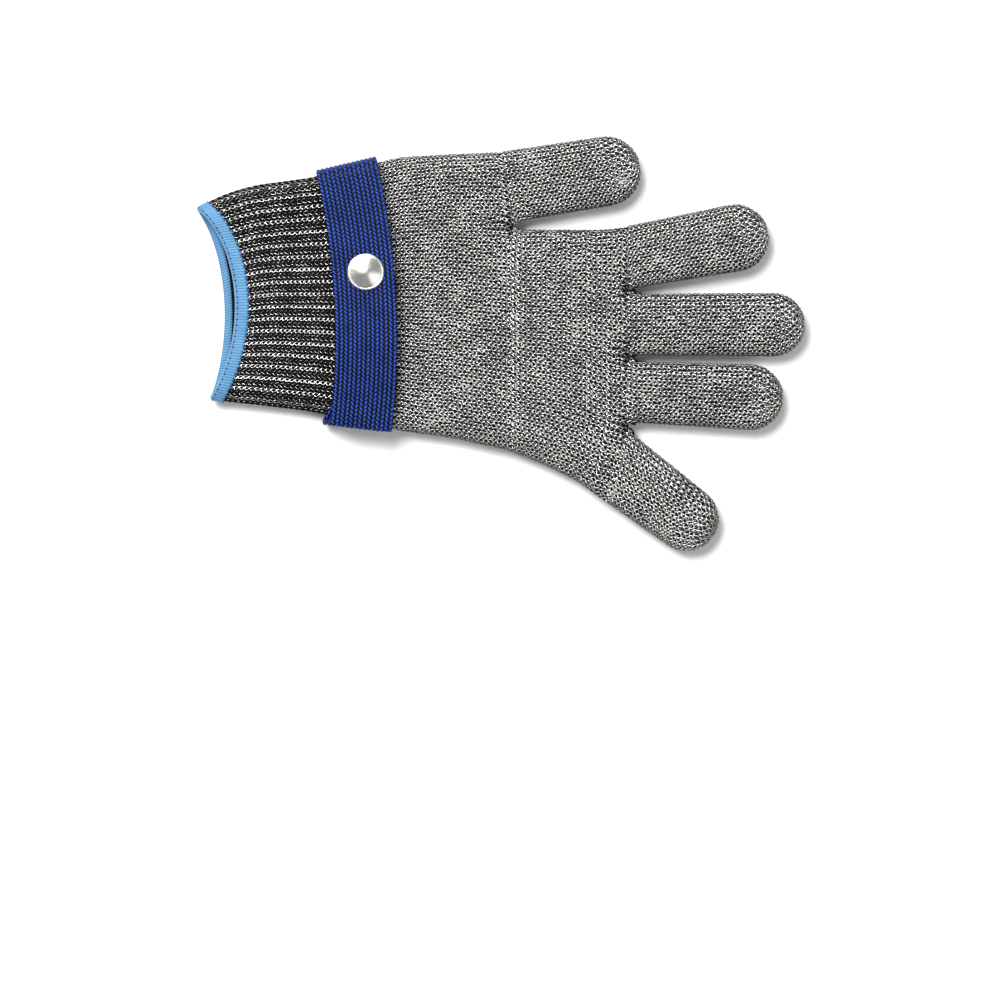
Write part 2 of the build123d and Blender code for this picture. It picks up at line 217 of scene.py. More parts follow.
def tubes(name, paths, look, sides, closed):  # each path holds its points, normals and radii
    allPoints, allQuads, paintedSideShade, caps, offset = [], [], [], [], 0
    angles = np.arange(sides) / sides * turn
    for points, normals, radii in paths:
        if closed:
            along = unit(np.roll(points, -1, 0) - np.roll(points, 1, 0))
        else:
            along = unit(np.gradient(points, axis=0))
        side = unit(np.cross(along, normals))
        up = np.cross(side, along)
        rim = points[:, None] + np.broadcast_to(radii, len(points))[:, None, None] * (
            np.cos(angles)[None, :, None] * side[:, None] + np.sin(angles)[None, :, None] * up[:, None])
        allPoints.append(rim.reshape(-1, 3))
        paintedSideShade.append(np.repeat(np.abs(normals[:, 2]), sides))  # painted shade: low where the surface turns to the sides, so the wire is painted darker there
        allQuads.append(gridQuads(len(points), sides, closed, True, offset))
        if not closed:
            caps.append(offset + np.arange(sides))
            caps.append(offset + (len(points) - 1) * sides + np.arange(sides)[::-1])
        offset += len(points) * sides
    return meshPiece(name, np.concatenate(allPoints), np.concatenate(allQuads), look, caps,
                     np.concatenate(paintedSideShade))


# the glove's plan outline, in mm: sides of cuff and palm, then thickness and middle height along x
glove = {"edgeWidth": 12.0, "edgePower": 2.2, "dent": 0.45, "underDent": 0.3, "dentStart": -40.0,
         "dentRun": 12.0, "roundSamples": 45, "around": 160}
sideHigh = np.array([(-134, 48.0), (-126, 53.5), (-118.4, 57.9), (-112, 60.8), (-105, 63.1), (-98.8, 64.6),
                     (-86, 66.3), (-78, 67.4), (-60, 71.6), (-41, 76.1), (-20, 77.3), (1.4, 78.2), (20, 81.0)])
sideLow = np.array([(-134, -20.0), (-114, -23.0), (-96, -25.0), (-78, -27.2), (-60, -31.0), (-41, -35.5),
                    (-20, -38.4), (2.0, -43.2), (15, -48.2), (28.8, -54.7), (34.55, -58.74), (44.2, -66.0)])
thickness = np.array([(-134, 10.0), (-80, 10.0), (-72, 8.4), (-42, 8.4), (-30, 12.0), (200, 12.0)])
middleHeight = np.array([(-134, 5.6), (-80, 5.6), (-72, 6.35), (-42, 6.35), (-30, 6.0), (200, 6.0)])

# root and direction of each digit, length to the middle of its tip, radii, direction its folds face, places
# of the knuckle seam and the middle fold, where flanks and knit start, and which sides have a neighbour
digits = {
    "thumb": {"root": (7.8, 64.6), "heading": 9.0, "length": 35.0, "radii": (14.7, 14.4), "fold": 9.0,
              "seam": -4.2, "middle": 22.8, "flanks": (0.0, -7.0), "start": -4.4, "web": (1, 0)},
    "index": {"root": (53.8, 35.5), "heading": 10.4, "length": 41.7, "radii": (12.9, 13.9), "fold": 0.0,
              "seam": -0.8, "middle": 26.2, "flanks": (-0.5, -7.0), "start": -1.8, "web": (1, 0)},
    "middle": {"root": (53.8, 7.9), "heading": 0.0, "length": 56.4, "radii": (12.7, 13.1), "fold": 0.0,
               "seam": -0.8, "middle": 31.2, "flanks": (-0.5, -0.5), "start": -1.8, "web": (1, 1)},
    "ring": {"root": (53.8, -19.4), "heading": -2.6, "length": 47.1, "radii": (12.6, 13.6), "fold": 0.0,
             "seam": -0.8, "middle": 27.2, "flanks": (-0.5, -0.5), "start": -1.8, "web": (1, 1)},
    "little": {"root": (43.4, -47.0), "heading": -37.0, "length": 39.5, "radii": (14.7, 13.4), "fold": -15.0,
               "seam": 5.7, "middle": 26.5, "flanks": (0.0, 0.5), "start": 4.9, "web": (0, 1)},
}


def digitPoint(digit, along, across):
    heading = math.radians(digit["heading"])
    return np.stack([digit["root"][0] + along * math.cos(heading) - across * math.sin(heading),
                     digit["root"][1] + along * math.sin(heading) + across * math.cos(heading)], -1)


def digitRadius(digit, along):
    low, high = digit["radii"]
    return low + (high - low) * np.clip(along / digit["length"], -0.2, 1.0)


def digitOutline(digit):
    samples = 60
    low = np.linspace(digit["flanks"][0], digit["length"], samples)
    high = np.linspace(digit["length"], digit["flanks"][1], samples)
    arc = np.linspace(-math.pi / 2, math.pi / 2, samples)
    tip = digit["radii"][1]
    return np.concatenate([
        digitPoint(digit, low, -digitRadius(digit, low)),
        digitPoint(digit, digit["length"] + tip * np.cos(arc), tip * np.sin(arc)),
        digitPoint(digit, high, digitRadius(digit, high))])


lowXs = np.linspace(-134, 34.5, 150)
highXs = lowXs[lowXs < -3][::-1]
outline = np.concatenate([  # once round, with the bottoms of the crotches between the digits
    np.stack([lowXs, np.interp(lowXs, *sideLow.T)], -1), digitOutline(digits["little"]), [(51.9, -34.0)],
    digitOutline(digits["ring"]), [(51.8, -5.9)], digitOutline(digits["middle"]), [(51.8, 21.7)],
    digitOutline(digits["index"]), [(30.0, 46.5), (5.2, 46.9)], digitOutline(digits["thumb"]),
    np.stack([highXs, np.interp(highXs, *sideHigh.T)], -1)])


def edgeDistance(points):
    batch = 2000  # keeps the tables of distances small
    a, b = outline[:-1], outline[1:]
    ab = b - a
    size = np.maximum((ab ** 2).sum(1), 1e-9)
    best = np.zeros(len(points))
    for start in range(0, len(points), batch):
        p = points[start:start + batch, None]
        t = np.clip(((p - a) * ab).sum(2) / size, 0, 1)
        best[start:start + batch] = np.sqrt((((a + t[..., None] * ab) - p) ** 2).sum(2)).min(1)
    return best


def waves(x, y, seed):  # slow unevenness of a soft knit lying flat, about -1 to 1
    return (np.sin(x / 7.1 + seed) * np.sin(y / 9.3 + 1.7 * seed) + np.sin((x + y) / 13.7 + 2.1 * seed)
            + 0.6 * np.sin((x - 1.6 * y) / 17.9 + 0.6 * seed)) / 2.6


def level(points, upper):  # height of the upper or lower face over plan points
    x, y = points.T
    e = np.minimum(edgeDistance(points) / glove["edgeWidth"], 1)
    fullness = (1 - (1 - e) ** glove["edgePower"]) ** (1 / glove["edgePower"])
    middle, half = np.interp(x, *middleHeight.T), np.interp(x, *thickness.T) / 2
    soft = glove["dent"] * np.clip((x - glove["dentStart"]) / glove["dentRun"], 0, 1) * fullness
    if upper:
        return middle + half * fullness - soft * (0.5 + 0.5 * waves(x, y, 1.0))
    return middle - half * fullness + glove["underDent"] * soft * (0.5 + 0.5 * waves(x, y, 4.0))


def evenly(path, count):
    run = np.concatenate([[0], np.cumsum(np.linalg.norm(np.diff(path, axis=0), axis=1))])
    at = np.linspace(0, run[-1], count + 1)[:-1]
    return np.stack([np.interp(at, run, path[:, i]) for i in range(3)], -1)


def ringOf(upperPlan, lowerPlan):
    upper = np.column_stack([upperPlan, level(upperPlan, True)])
    lower = np.column_stack([lowerPlan, level(lowerPlan, False)])[::-1]
    half = glove["around"] // 2
    return np.concatenate([evenly(upper, half), evenly(lower, half)])


acrossShare = (1 - np.cos(np.linspace(0, math.pi, glove["roundSamples"]))) / 2  # closer together at the sides


class Skin:  # a run of rings, sampled by course number and share of the way round

    def __init__(self, rings, openStart=True, openEnd=True):
        rings = np.array(rings)
        self.rows = len(rings)
        first = 2 * rings[0] - rings[1] if openStart else rings[0]
        last = 2 * rings[-1] - rings[-2] if openEnd else rings[-1]
        self.rings = rings
        self.places = np.concatenate([first[None], rings, last[None]])
        along = unit(np.gradient(self.places, axis=0))
        around = unit(np.roll(self.places, -1, 1) - np.roll(self.places, 1, 1))
        self.normals = unit(np.cross(along, around))
        self.limit = self.rows - (0.0 if openEnd else 1.8)  # the last ring of a tip is too small to knit on

    def sample(self, course, share):
        row = np.clip(course + 1, 0, self.limit + 0.999)
        row = np.minimum(row, len(self.places) - 1.001)
        column = (share % 1) * glove["around"]
        r, c = np.floor(row).astype(int), np.floor(column).astype(int) % glove["around"]
        fr, fc = (row - r)[:, None], (column - np.floor(column))[:, None]
        r1, c1 = r + 1, (c + 1) % glove["around"]

        def mixed(table):
            return ((1 - fr) * ((1 - fc) * table[r, c] + fc * table[r, c1])
                    + fr * ((1 - fc) * table[r1, c] + fc * table[r1, c1]))
        return mixed(self.places), unit(mixed(self.normals))

    def roundOf(self, course):
        ring = self.rings[int(min(max(course, 0), self.rows - 1))]
        return np.linalg.norm(np.roll(ring, -1, 0) - ring, axis=1).sum()

    def core(self, name, look, first, last, inset, closeEnd=False, inner=None):
        rows = slice(first + 1, last + 2)
        outer = self.places[rows] - inset * self.normals[rows]
        points, count, around = outer.reshape(-1, 3), outer.shape[0], glove["around"]
        quads = gridQuads(count, around)
        caps = []
        if closeEnd:
            caps.append((count - 1) * around + np.arange(around)[::-1])
        if inner is not None:
            inside = (self.places[rows] - inner * self.normals[rows]).reshape(-1, 3)
            quads = np.concatenate([quads, gridQuads(count, around)[:, ::-1] + len(points)])
            points = np.concatenate([points, inside])
        return meshPiece(name, points, quads, look, caps)


# single jersey of wire: legs of each loop in front, heads and feet behind
# swings are slow waves of a course, two sideways and one along: size, rate round it and shift per course
# jitter is the unevenness of single loops sideways, along and outwards
wireLook = {"walePitch": 2.75, "coursePitch": 2.0, "samples": 14, "sides": 4, "radius": 0.27, "lean": 0.28,
            "reach": 1.5, "depth": 0.46, "sink": -0.56, "bedding": 0.3, "beddingPower": 1.5,
            "coreInset": 0.74, "swings": ((0.05, 2.3, 1.7), (0.04, 5.1, 0.9), (0.06, 3.1, 2.4)),
            "jitter": (0.035, 0.045, 0.035)}
irregular = np.random.default_rng(11)


def uneven(run, scale):  # irregularity of single loops, drawn between seeded random values
    values = irregular.normal(0, scale, int(run[-1]) + 3)
    values[-2:] = values[:2]  # the last loop joins the first
    return np.interp(run, np.arange(len(values)) - 0.3, values)


def evenWales(skin, course):  # the number of loops that fits round a course, always even
    return 2 * round(skin.roundOf(course) / wireLook["walePitch"] / 2)


def jersey(name, skin, courses, walesOf):
    paths = []
    for j in courses:
        count = walesOf(j)
        run = np.arange(count * wireLook["samples"]) / wireLook["samples"]
        share = run % 1
        swings = [size * np.sin(run * (turn * round(rate * count / turn) / count) + j * shift)
                  for size, rate, shift in wireLook["swings"]]  # a whole number of waves round the ring
        aside, along, outwards = [uneven(run, scale) for scale in wireLook["jitter"]]
        c = run + wireLook["lean"] * np.sin(2 * turn * share) + swings[0] + swings[1] + aside
        v = j - wireLook["reach"] / 2 * np.cos(turn * share) + swings[2] + along
        n = wireLook["sink"] - wireLook["depth"] * np.cos(2 * turn * share) + outwards
        place, normal = skin.sample(v, c / count)
        flank = 1 - np.abs(normal[:, 2])  # stretched round the sides, the wire beds deeper in the yarn
        n = n - wireLook["bedding"] * flank ** wireLook["beddingPower"]
        paths.append((place + n[:, None] * normal, normal, wireLook["radius"]))
    return tubes(name, paths, "drawnSteelWire", wireLook["sides"], True)


def pieceRide(piece, body=None, blend=None):
    if blend:
        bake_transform(piece)
    else:
        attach(piece, body)
    return piece


# palm from under the strap to the thumb's crotch; past thumbShare its end runs back under the thumb
palmLook = {"rows": 33, "wristCourses": 14, "start": -60.0, "end": 5.2, "thumbShare": 0.747, "thumbDraw": 3.8,
            "wristInner": 1.6, "bend": ("hand", "cuff", (-22, 20, 6), (-44, 20, 6))}
palmRings = []
for k in range(palmLook["rows"] + 1):
    underThumb = np.clip((acrossShare - palmLook["thumbShare"]) / (1 - palmLook["thumbShare"]), 0, 1)
    endX = palmLook["end"] - palmLook["thumbDraw"] * underThumb
    x = palmLook["start"] + k / palmLook["rows"] * (endX - palmLook["start"])
    low, high = np.interp(x, *sideLow.T), np.interp(x, *sideHigh.T)
    plan = np.stack([x, low + acrossShare * (high - low)], -1)
    palmRings.append(ringOf(plan, plan))
palmSkin = Skin(palmRings)
palmWales = evenWales(palmSkin, 20)
wristEnd = palmLook["wristCourses"]
wristWire = jersey("wristWire", palmSkin, range(0, wristEnd), lambda j: palmWales)
palmWire = jersey("palmWire", palmSkin, range(wristEnd, palmLook["rows"]), lambda j: palmWales)
wristCore = palmSkin.core("wristCore", "spunPolyesterCore", 0, wristEnd, wireLook["coreInset"],
                          inner=palmLook["wristInner"])
palmCore = palmSkin.core("palmCore", "spunPolyesterCore", wristEnd, palmLook["rows"], wireLook["coreInset"])
for piece in (wristWire, palmWire, wristCore, palmCore):
    pieceRide(piece, blend=palmLook["bend"])
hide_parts("wrist_knit")
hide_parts("hand_knit")
print("palm knitted", palmWales)

# knuckle part of the palm, from the thumb's crotch to the fingers; it ends sooner on the little finger's side
knuckleLook = {"rows": 23, "start": 5.2, "end": 52.0, "littleEnd": 44.4, "littleShare": 0.27, "high": 46.7,
               "rise": 0.1, "riseStart": 34.0, "riseRun": 13.0, "web": 1.4, "webRun": 5.0}
knuckleRings = []
for k in range(knuckleLook["rows"] + 1):
    s = k / knuckleLook["rows"]
    start, end, littleEnd = knuckleLook["start"], knuckleLook["end"], knuckleLook["littleEnd"]
    endX = littleEnd + (end - littleEnd) * np.clip(acrossShare / knuckleLook["littleShare"], 0, 1)
    x = start + s * (endX - start)
    low = np.interp(start + s * (littleEnd - start), *sideLow.T)
    passed = s * (end - start)
    web = knuckleLook["web"] * max(0.0, 1 - passed / knuckleLook["webRun"]) ** 2  # closes the thumb's crotch
    risen = np.clip(passed - knuckleLook["riseStart"], 0, knuckleLook["riseRun"])
    high = knuckleLook["high"] + knuckleLook["rise"] * risen + web
    plan = np.stack([x, low + acrossShare * (high - low)], -1)
    knuckleRings.append(ringOf(plan, plan))
knuckleSkin = Skin(knuckleRings)
knuckleWales = evenWales(knuckleSkin, 12)
knuckleWire = jersey("knuckleWire", knuckleSkin, range(0, knuckleLook["rows"]), lambda j: knuckleWales)
knuckleCore = knuckleSkin.core("knuckleCore", "spunPolyesterCore", 0, knuckleLook["rows"],
                               wireLook["coreInset"])
for piece in (knuckleWire, knuckleCore):
    pieceRide(piece, "hand")
print("knuckles knitted", knuckleWales)

# digits: straight courses, then courses round the tip
digitLook = {"tipCourses": 10, "tipTurn": 83.0, "fewestWales": 6, "web": 1.15, "webRun": 5.0,
             "foldHeight": 6.0, "foldRun": 14.0, "coreStop": 4}
for name, digit in digits.items():
    rings = []
    shear = math.tan(math.radians(digit["fold"] - digit["heading"]))
    steps = round((digit["length"] - digit["start"]) / wireLook["coursePitch"])
    tipRadius = digit["radii"][1]
    for k in range(steps + 1):
        along = digit["start"] + k / steps * (digit["length"] - digit["start"])
        ease = 1 - max(0.0, (along - digit["middle"]) / (digit["length"] - digit["middle"]))
        skew = digitRadius(digit, along) * shear * ease  # along the fold, and square towards the tip
        web = digitLook["web"] * max(0.0, 1 - (along - digit["start"]) / digitLook["webRun"]) ** 2
        low, high = along + skew, along - skew
        a = digitPoint(digit, low, -digitRadius(digit, low) - web * digit["web"][0])
        b = digitPoint(digit, high, digitRadius(digit, high) + web * digit["web"][1])
        plan = a + acrossShare[:, None] * (b - a)
        rings.append(ringOf(plan, plan))
    for k in range(1, digitLook["tipCourses"] + 1):
        angle = k / digitLook["tipCourses"] * math.radians(digitLook["tipTurn"])
        along, half = digit["length"] + tipRadius * math.sin(angle), tipRadius * math.cos(angle)
        plan = digitPoint(digit, np.full(len(acrossShare), along), -half + 2 * half * acrossShare)
        rings.append(ringOf(plan, plan))
    skin = Skin(rings, openEnd=False)
    wales = evenWales(skin, 4)

    def walesOf(j, skin=skin, wales=wales, steps=steps):
        if j <= steps:
            return wales
        return max(digitLook["fewestWales"], round(skin.roundOf(j) / wireLook["walePitch"]))
    split = round((digit["middle"] - digit["start"]) / (digit["length"] - digit["start"]) * steps)
    heading = math.radians(digit["fold"])
    direction = np.array([math.cos(heading), math.sin(heading), 0])
    root = np.array([*digit["root"], digitLook["foldHeight"]])
    base, tip = f"{name}_base", f"{name}_tip"
    for part, courses, at, ends in (("base", range(0, split), digit["seam"], ("hand", base)),
                                    ("tip", range(split, len(rings) - 1), digit["middle"], (base, tip))):
        coreEnd = split if part == "base" else len(rings) - digitLook["coreStop"]
        wire = jersey(f"{name}{part.title()}Wire", skin, courses, walesOf)
        core = skin.core(f"{name}{part.title()}Core", "spunPolyesterCore", courses[0], coreEnd,
                         wireLook["coreInset"], part == "tip")
        foldStart, foldEnd = root + at * direction, root + (at + digitLook["foldRun"]) * direction
        for piece in (wire, core):
            pieceRide(piece, blend=(*ends, tuple(foldStart), tuple(foldEnd)))
        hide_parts(f"{name}_{part}")
print("digits knitted")

# ribbed cuff: thick black yarn on the ribs with a thin wire beside it, wire chains in the hollows
# the mouth is drawn in by another amount on the upper face than on the lower
cuffLook = {"rows": 26, "wales": 78, "endX": -59.0, "cornerX": (-118.0, -123.5), "mouthBulge": (13.1, 8.3),
            "reach": 1.3, "yarnSamples": 12, "yarnRadius": 0.63, "yarnLean": 0.26, "yarnSink": -1.05,
            "yarnDepth": 0.25, "ribDepth": 0.5, "twinShare": 0.55, "twinAhead": 0.42, "twinSink": -0.02,
            "twinRise": 0.42, "wireRadius": 0.26, "chainSamples": 8, "chainSwing": 0.3, "chainSink": -0.42,
            "chainDepth": 0.22, "chainMargin": 0.2, "coreInset": 1.35, "coreInner": 1.7}
cornerLow, cornerHigh = cuffLook["cornerX"]
chordX = cornerLow + (cornerHigh - cornerLow) * acrossShare
cuffRings = []
for k in range(cuffLook["rows"] + 1):
    plans = []
    for bulge in cuffLook["mouthBulge"]:
        mouth = chordX + bulge * (1 - (2 * acrossShare - 1) ** 2)
        x = mouth + k / cuffLook["rows"] * (cuffLook["endX"] - mouth)
        low, high = np.interp(x, *sideLow.T), np.interp(x, *sideHigh.T)
        plans.append(np.stack([x, low + acrossShare * (high - low)], -1))
    cuffRings.append(ringOf(*plans))
cuffSkin = Skin(cuffRings)
yarnPaths, twinPaths, chainPaths = [], [], []
for j in np.arange(1.3, cuffLook["rows"], 1.0):
    run = np.arange(cuffLook["wales"] * cuffLook["yarnSamples"]) / cuffLook["yarnSamples"]
    share = run % 1
    rib = np.cos(math.pi * (run - 0.5))
    c = run + cuffLook["yarnLean"] * np.sin(2 * turn * share) + 0.03 * np.sin(run * 1.9 + j)
    v = j - cuffLook["reach"] / 2 * np.cos(turn * share) + 0.05 * np.sin(run * 2.7 + 3 * j)
    n = cuffLook["yarnSink"] + cuffLook["ribDepth"] * rib - cuffLook["yarnDepth"] * np.cos(2 * turn * share)
    place, normal = cuffSkin.sample(v, c / cuffLook["wales"])
    yarnPaths.append((place + n[:, None] * normal, normal, cuffLook["yarnRadius"]))
    place, normal = cuffSkin.sample(v + cuffLook["twinAhead"], c / cuffLook["wales"])
    n = n + cuffLook["twinSink"] + cuffLook["twinRise"] * rib + 0.08 * np.sin(run * 2.9 + 1.3 * j)
    twinPaths.append((place + n[:, None] * normal, normal, cuffLook["wireRadius"] * cuffLook["twinShare"]))
for i in range(1, cuffLook["wales"], 2):
    for sign in (1, -1):
        v = np.arange(cuffLook["chainMargin"], cuffLook["rows"] - cuffLook["chainMargin"],
                      1 / cuffLook["chainSamples"])
        c = i + 0.5 + sign * cuffLook["chainSwing"] * np.sin(math.pi * (v + 0.13 * math.sin(i * 2.1)))
        n = (cuffLook["chainSink"] + cuffLook["chainDepth"] * sign * np.cos(math.pi * v)
             + 0.1 * np.sin(v * 1.3 + i))
        place, normal = cuffSkin.sample(v, c / cuffLook["wales"])
        chainPaths.append((place + n[:, None] * normal, normal, cuffLook["wireRadius"]))
ribYarn = tubes("ribYarn", yarnPaths, "blackRibYarn", 4, True)
ribTwin = tubes("ribTwin", twinPaths, "drawnSteelWire", 3, True)
ribChain = tubes("ribChain", chainPaths, "drawnSteelWire", 3, False)
ribCore = cuffSkin.core("ribCore", "spunPolyesterCore", 0, cuffLook["rows"], cuffLook["coreInset"],
                        inner=cuffLook["coreInner"])
for piece in (ribYarn, ribTwin, ribChain, ribCore):
    pieceRide(piece, "cuff")
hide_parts("cuff_rib")
print("cuff knitted")

# overlocked hem round the mouth; its profile is depth from the mouth and rise over the knit
hemLook = {"threadPitch": 1.1, "threadLean": 0.22, "ripple": 0.16, "step": 0.22,
           "profile": [(5.5, -0.5), (5.4, 0.35), (4.4, 0.45), (3.2, 0.5), (2.0, 0.48), (0.9, 0.4), (0.1, 0.1),
                       (-0.35, -0.7), (-0.1, -1.6), (0.6, -2.0), (1.3, -2.08), (2.0, -2.08), (2.6, -2.0),
                       (3.0, -1.6)],
           "dashRows": ((5.15, 0.42), (0.75, 0.42)), "dashPitch": 2.2, "dashLength": 1.3, "dashRadius": 0.31,
           "dashArch": 0.1, "dashTaper": (0.35, 0.85, 1, 1, 0.85, 0.35)}
mouthRound = cuffSkin.roundOf(0)
hemSteps = int(mouthRound / hemLook["step"])
share = np.arange(hemSteps) / hemSteps
firstCourse, nextCourse = (cuffSkin.sample(np.full(hemSteps, row), share)[0] for row in (0.0, 1.0))
courseWidth = np.linalg.norm(nextCourse - firstCourse, axis=1)
threads = round(mouthRound / hemLook["threadPitch"])
hemRows, hemGrooveShade = [], []
for depth, rise in hemLook["profile"]:
    wave = np.abs(np.sin(math.pi * (share * threads + hemLook["threadLean"] * depth * 0.5)))
    ripple = hemLook["ripple"] * (wave - 0.5) * (1 if rise > -1 else -1)  # outwards on both faces
    place, normal = cuffSkin.sample(depth / courseWidth, share)
    hemRows.append(place + (rise + ripple)[:, None] * normal)
    # painted shade: the wave is low in the grooves between thread turns, where the hem is painted darker
    hemGrooveShade.append(wave)
hemPoints = np.stack(hemRows, 1)  # along the mouth, then round the profile
hemQuads = gridQuads(hemSteps, len(hemRows), True, True)[:, ::-1]
hemBand = meshPiece("hemBand", hemPoints.reshape(-1, 3), hemQuads, "overlockThread",
                    relief=np.stack(hemGrooveShade, 1).ravel())
# dark dashes at both edges of the hem stand for the shaded gaps between the stitches: painted shade
dashPaths = []
dashCount = round(mouthRound / hemLook["dashPitch"])
dashTaper = np.array(hemLook["dashTaper"])
dashSamples = len(dashTaper)
dashArch = hemLook["dashArch"] * np.sin(np.linspace(0, math.pi, dashSamples))
for depth, rise in hemLook["dashRows"]:
    for i in range(dashCount):
        along = np.linspace(-0.5, 0.5, dashSamples) * hemLook["dashLength"] / hemLook["dashPitch"]
        at = (i + along) / dashCount
        width = np.interp(at % 1, share, courseWidth)
        place, normal = cuffSkin.sample(depth / width, at)
        place = place + (rise + dashArch)[:, None] * normal
        dashPaths.append((place, normal, hemLook["dashRadius"] * dashTaper))
hemDashes = tubes("hemDashes", dashPaths, "lockThread", 5, False)
for piece in (hemBand, hemDashes):
    pieceRide(piece, "cuff")
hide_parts("cuff_hem")
print("hem sewn")

# strap of woven webbing: centre is the middle line in plan, band and flap run along y and z
strapLook = {"width": 25.0, "thick": 1.5, "beadAcross": 1.8, "beadAlong": 1.7, "beadSlant": 0.9,
             "relief": 0.52, "rimWidth": 0.7, "rimDrop": 0.6, "step": 0.36, "smoothing": 60,
             "centre": ((-57.7, -41.75), (-55.15, 20.3), (-65.3, 82.35)),
             "askew": 3.4, "askewStart": -22.0, "askewRun": 10.0,
             "band": [(38.2, 12.25), (0, 12.25), (-27.5, 12.25), (-31.6, 11.2), (-33.5, 8.5), (-33.6, 5.0),
                      (-32.0, 2.2), (-28, 1.15), (0, 1.15), (40, 1.15), (67, 1.15), (70.6, 1.9), (72.3, 4.5),
                      (72.5, 8.0), (72.5, 11.0), (71.9, 14.4), (70.2, 16.7)],
             "flap": [(70.5, 16.5), (68.7, 17.35), (66.0, 17.45), (40, 17.45), (12, 17.45), (0, 17.25),
                      (-12, 16.6), (-24, 15.6), (-34.8, 14.7)],
             "hinge": ("cuff", "flap", (-64.2, 69.5, 18.2), (-63.0, 64.0, 18.2))}
strapCurve = np.polyfit([p[1] for p in strapLook["centre"]], [p[0] for p in strapLook["centre"]], 2)
strapSlope = np.polyder(strapCurve)


def webbing(name, corners, startRun, lowShift):  # corners are y and z of the strip's middle line
    corners = np.array(corners, dtype=float)
    run = np.concatenate([[0], np.cumsum(np.linalg.norm(np.diff(corners, axis=0), axis=1))])
    fine = np.arange(0, run[-1], 0.1)
    line = np.stack([np.interp(fine, run, corners[:, i]) for i in range(2)], -1)
    for _ in range(strapLook["smoothing"]):  # rounds the corners
        line[1:-1] = 0.25 * line[:-2] + 0.5 * line[1:-1] + 0.25 * line[2:]
    run = np.concatenate([[0], np.cumsum(np.linalg.norm(np.diff(line, axis=0), axis=1))])
    at = np.arange(0, run[-1], strapLook["step"])
    y, z = (np.interp(at, run, line[:, i]) for i in range(2))
    askew = np.clip((strapLook["askewStart"] - y) / strapLook["askewRun"], 0, 1) ** 1.5
    x = np.polyval(strapCurve, y) - lowShift * askew
    across = unit(np.stack([np.ones_like(y), -np.polyval(strapSlope, y), np.zeros_like(y)], -1))
    middle = np.stack([x, y, z], -1)
    along = unit(np.gradient(middle, axis=0))
    normal = unit(np.cross(along, across))
    half = strapLook["width"] / 2
    columns = int(strapLook["width"] / strapLook["step"]) + 1
    w = np.linspace(-half, half, columns)
    column = (w + half) / strapLook["beadAcross"]
    odd = np.floor(column) % 2
    fa = (column % 1) - 0.5
    slant = strapLook["beadSlant"] * fa * np.where(odd, 1, -1)  # beads of neighbouring columns lean both ways
    fb = ((at[:, None] + startRun) / strapLook["beadAlong"] + (0.5 * odd + slant)[None]) % 1 - 0.5
    bead = (1 - (2 * fa) ** 2)[None] * (1 - (2 * fb) ** 2)
    nearRim = np.clip((np.abs(w) - half + strapLook["rimWidth"]) / strapLook["rimWidth"], 0, 1)
    height = strapLook["thick"] / 2 - strapLook["relief"] + strapLook["relief"] * bead
    height = height * (1 - strapLook["rimDrop"] * nearRim ** 2)[None]
    base = middle[:, None] + w[None, :, None] * across[:, None]
    upper = base + height[..., None] * normal[:, None]
    lower = base - height[..., None] * normal[:, None]
    points = np.concatenate([upper, lower[:, ::-1]], 1)
    # painted shade: the bead height goes into the relief attribute, so the hollows between beads are painted
    # dark
    relief = np.concatenate([bead, bead[:, ::-1]], 1)
    ring = 2 * columns
    caps = [np.arange(ring), (len(at) - 1) * ring + np.arange(ring)[::-1]]
    return meshPiece(name, points.reshape(-1, 3), gridQuads(len(at), ring), "wovenWebbing", caps,
                     relief.ravel())


strapBand = webbing("strapBand", strapLook["band"], 0.0, strapLook["askew"])  # not quite under the flap's end
strapFlap = webbing("strapFlap", strapLook["flap"], 0.6, 0.0)
pieceRide(strapBand, "cuff")
pieceRide(strapFlap, blend=strapLook["hinge"])
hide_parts("strap_band")
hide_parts("strap_flap")
print("strap woven")

# snap cap: pressed shallow cone with a rolled rim, in steps of radius and height over its underside
capLook = {"centre": (-54.7, 28.7), "radius": 7.5, "low": 18.2, "sheet": 0.3, "vertices": 72,
           "steps": [(7.42, 0.7), (6.95, 0.92), (6.6, 0.78), (6.4, 0.84), (5.2, 1.24), (3.8, 1.7),
                     (2.4, 2.16), (1.3, 2.48), (0.6, 2.6)]}
centre = Vector((capLook["centre"][0] * milli, capLook["centre"][1] * milli, 0))
sheetMiddle = centre + Vector((0, 0, (capLook["low"] + capLook["sheet"] / 2) * milli))
bpy.ops.mesh.primitive_cylinder_add(vertices=capLook["vertices"], radius=capLook["radius"] * milli,
                                    depth=capLook["sheet"] * milli, location=sheetMiddle)
snapCap = bpy.context.active_object
snapCap.name = "snapCap"
bpy.ops.object.transform_apply(location=True, rotation=True, scale=True)
bpy.ops.object.mode_set(mode="EDIT")
bpy.ops.mesh.select_mode(type="FACE")
shape = bmesh.from_edit_mesh(snapCap.data)
for face in shape.faces:
    face.select_set(face.normal.z > 0.9)
bmesh.update_edit_mesh(snapCap.data)
was, height = capLook["radius"], capLook["sheet"]
for radius, rise in capLook["steps"]:
    bpy.ops.mesh.extrude_region_move(TRANSFORM_OT_translate={"value": (0, 0, (rise - height) * milli)})
    bpy.ops.transform.resize(value=(radius / was, radius / was, 1), center_override=centre)
    was, height = radius, rise
bpy.ops.mesh.select_all(action="DESELECT")
bpy.ops.object.mode_set(mode="OBJECT")
bpy.ops.object.modifier_add(type="SUBSURF")
snapCap.modifiers[-1].levels = snapCap.modifiers[-1].render_levels = 1
bpy.ops.object.modifier_apply(modifier=snapCap.modifiers[-1].name)
bpy.ops.object.shade_smooth_by_angle(angle=math.radians(40))
snapCap.data.materials.append(finish["satinPressedSteel"])
pieceRide(snapCap, "flap")
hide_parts("snap_cap")
bpy.ops.object.select_all(action="DESELECT")

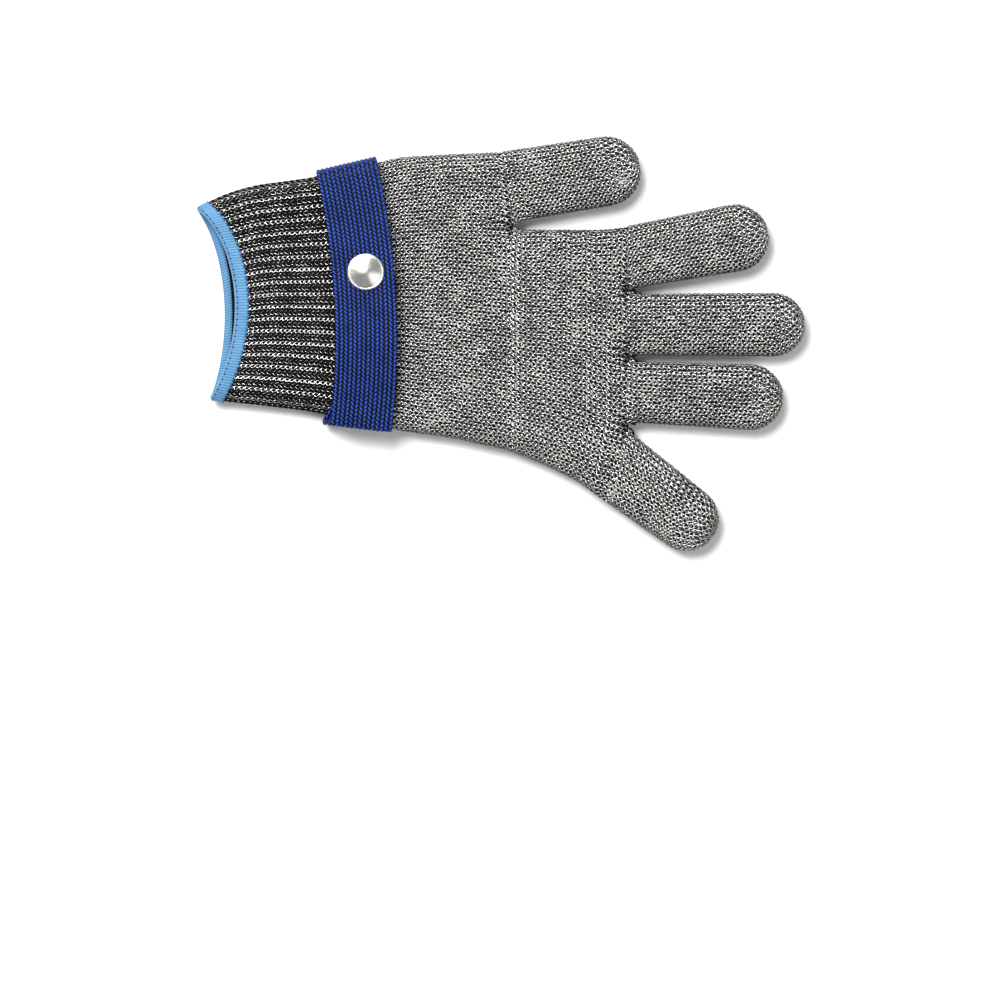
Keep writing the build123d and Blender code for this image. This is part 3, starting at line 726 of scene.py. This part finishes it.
for node, look in (("snap_stud", "satinPressedSteel"), ("snap_post", "satinPressedSteel"),
                   ("snap_socket", "satinPressedSteel"), ("snap_spring", "springWire"),
                   ("cuff_elastic", "coveredElastic"), ("strap_tack", "bondedThread")):
    nodes[node].data.materials.clear()
    nodes[node].data.materials.append(finish[look])
print("snap pressed")

# floor, light and camera; lamps have a place, a size and a power
studio = {"floorSize": 12.0, "floorZ": -0.0003, "floor": "#f4f4f2", "floorRoughness": 0.9,
          "worldStrength": 0.34,
          "lamps": {"keyLight": ((-0.6, 0.8, 1.6), 1.0, 56.0), "fillLight": ((1.1, -0.7, 1.3), 1.2, 8.0)},
          "aim": (-0.6, -63.2), "viewWidth": 406.6, "height": 2000.0, "sensor": 36.0}
bpy.ops.mesh.primitive_plane_add(size=studio["floorSize"], location=(0, 0, studio["floorZ"]))
floor = bpy.context.active_object
floor.name = "studioFloor"
floorFinish = bpy.data.materials.new("paintedBoard")
floorFinish.use_nodes = True
floorShader = floorFinish.node_tree.nodes["Principled BSDF"]
floorShader.inputs["Base Color"].default_value = toLinear(studio["floor"])
floorShader.inputs["Roughness"].default_value = studio["floorRoughness"]
floor.data.materials.append(floorFinish)
world = bpy.data.worlds.new("softRoom")
world.use_nodes = True
world.node_tree.nodes["Background"].inputs["Color"].default_value = (1, 1, 1, 1)
world.node_tree.nodes["Background"].inputs["Strength"].default_value = studio["worldStrength"]
bpy.context.scene.world = world
bpy.context.scene.view_settings.view_transform = "Standard"  # colours come out as they are set
for name, (place, size, power) in studio["lamps"].items():
    light = bpy.data.lights.new(name, "AREA")
    light.size = size
    light.energy = power
    lamp = bpy.data.objects.new(name, light)
    lamp.location = place
    lamp.rotation_euler = (Vector((0, 0, 0)) - Vector(place)).to_track_quat("-Z", "Y").to_euler()
    bpy.context.scene.collection.objects.link(lamp)
camera = bpy.data.cameras.new("topCamera")
camera.sensor_width = studio["sensor"]
camera.lens = studio["sensor"] * studio["height"] / studio["viewWidth"]
camera.clip_end = 20.0
eye = bpy.data.objects.new("topCamera", camera)
eye.location = (studio["aim"][0] * milli, studio["aim"][1] * milli, studio["height"] * milli)
bpy.context.scene.collection.objects.link(eye)
bpy.context.scene.camera = eye

for o in sorted(bpy.data.objects, key=lambda o: o.name):
    if o.type == "MESH" and not o.hide_render and o is not floor:
        count = sum(len(p.vertices) - 2 for p in o.data.polygons)
        print("piece", o.name, count)
